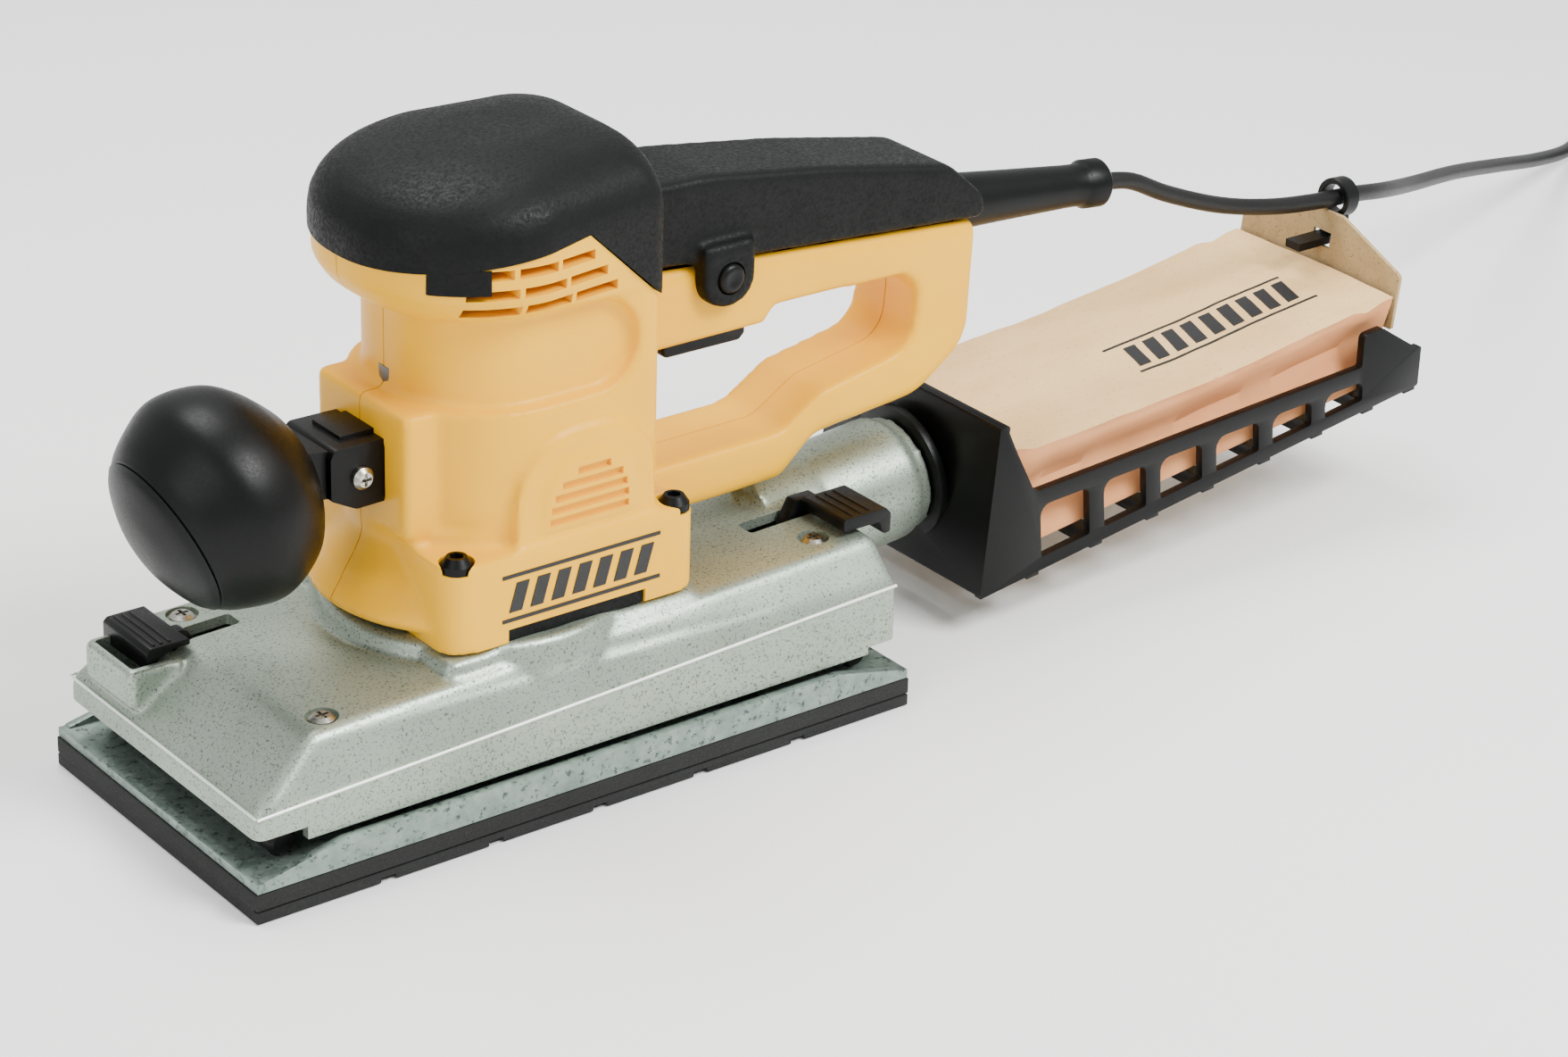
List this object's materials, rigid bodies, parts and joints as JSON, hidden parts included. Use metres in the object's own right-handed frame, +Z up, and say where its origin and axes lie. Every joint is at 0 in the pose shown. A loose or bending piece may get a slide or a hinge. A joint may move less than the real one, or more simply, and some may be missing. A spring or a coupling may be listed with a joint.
{
  "type": "orbital sander",
  "caption": "Corded orbital finishing sander: flat clamped pad, round front knob, D-handle with trigger, and a paper dust bag in an open carrier behind.",
  "frame": {"origin": "centre of the flat underside of the sanding pad", "axes": "+Z up, -X towards the front knob, +X towards the dust bag, -Y to the operator's left"},
  "size_m": [0.939, 0.251, 0.197],
  "materials": {
    "yellow_housing": "moulded yellow plastic, satin",
    "black_plastic": "moulded black plastic, fine texture",
    "black_rubber": "soft black elastomer, mottled texture",
    "pad_foam": "dense black foam rubber",
    "painted_casting": "grey-green hammered metallic paint",
    "raw_casting": "cast aluminium, lightly coated",
    "steel": "zinc plated or ground steel",
    "copper": "enamelled copper",
    "carbon": "pressed carbon",
    "paper": "kraft paper",
    "cardboard": "grey-brown cardboard",
    "cord_rubber": "rubber sheathed lead",
    "pin_brass": "nickelled brass"
  },
  "bodies": {
    "machine": {"shroud": "painted_casting", "shroud_screw_front_left": "steel", "shroud_screw_front_right": "steel", "shroud_screw_rear_left": "steel", "shroud_screw_rear_right": "steel", "isolator_front_left": "black_rubber", "isolator_front_right": "black_rubber", "isolator_rear_left": "black_rubber", "isolator_rear_right": "black_rubber", "left_housing": "yellow_housing", "right_housing": "yellow_housing", "flange_plug_front_left": "black_rubber", "flange_plug_front_right": "black_rubber", "flange_plug_rear_left": "black_rubber", "flange_plug_rear_right": "black_rubber", "base_seal": "black_rubber", "head_cover": "black_rubber", "handle_grip": "black_rubber", "front_handle_arm": "black_plastic", "arm_bolt": "steel", "knob": "black_rubber", "knob_cap": "black_rubber", "lower_bearing": "steel", "upper_bearing": "steel", "motor_bracket": "raw_casting", "stator": "steel", "lower_field_winding": "copper", "upper_field_winding": "copper", "carbon_brush_left": "carbon", "carbon_brush_right": "carbon", "switch_body": "black_plastic", "suppressor": "black_plastic", "cord_clamp": "black_plastic", "strain_relief": "black_rubber", "cord": "cord_rubber", "cord_coil": "cord_rubber", "cord_tail": "cord_rubber", "plug_body": "cord_rubber", "plug_pin_left": "pin_brass", "plug_pin_right": "pin_brass"},
    "rotor": {"motor_shaft": "steel", "eccentric_hub": "steel", "cooling_fan": "black_plastic", "armature_core": "steel", "commutator": "copper"},
    "platen": {"platen": "raw_casting", "sanding_pad": "pad_foam", "pad_bearing": "steel"},
    "front_clamp": {"front_clamp_lever": "black_plastic", "front_clamp_bar": "black_rubber"},
    "rear_clamp": {"rear_clamp_lever": "black_plastic", "rear_clamp_bar": "black_rubber"},
    "trigger": {"trigger": "black_plastic"},
    "lock_button": {"lock_button": "black_plastic"},
    "dust_bag": {"bag_frame": "black_plastic", "paper_bag": "paper", "bag_collar": "cardboard", "bag_flap": "cardboard", "cord_clip": "black_plastic"}
  },
  "joints": [
    {"name": "rotor_spin", "type": "hinge", "parent": "machine", "child": "rotor", "pos_m": [-0.004, 0, 0.1], "axis": [0, 0, 1], "continuous": true},
    {"name": "platen_orbit", "type": "hinge", "parent": "rotor", "child": "platen", "pos_m": [-0.0028, 0, 0.03], "axis": [0, 0, 1], "continuous": true},
    {"name": "front_clamp_hinge", "type": "hinge", "parent": "platen", "child": "front_clamp", "pos_m": [-0.08, 0.0275, 0.025], "axis": [0, 1, 0], "range_deg": [0, 12]},
    {"name": "rear_clamp_hinge", "type": "hinge", "parent": "platen", "child": "rear_clamp", "pos_m": [0.088, -0.0163, 0.025], "axis": [0, -1, 0], "range_deg": [0, 12]},
    {"name": "trigger_press", "type": "slide", "parent": "machine", "child": "trigger", "axis": [0, 0, 1], "range_m": [0, 0.004], "stiffness_N_per_m": 500, "springref_m": -0.003},
    {"name": "lock_press", "type": "slide", "parent": "machine", "child": "lock_button", "axis": [0, 1, 0], "range_m": [0, 0.003], "stiffness_N_per_m": 400, "springref_m": -0.003},
    {"name": "bag_pull", "type": "slide", "parent": "machine", "child": "dust_bag", "axis": [0.9951, 0, 0.0993], "range_m": [0, 0.006]}
  ],
  "couplings": [
    {"joint": "platen_orbit", "follows": "rotor_spin", "ratio": -1}
  ]
}
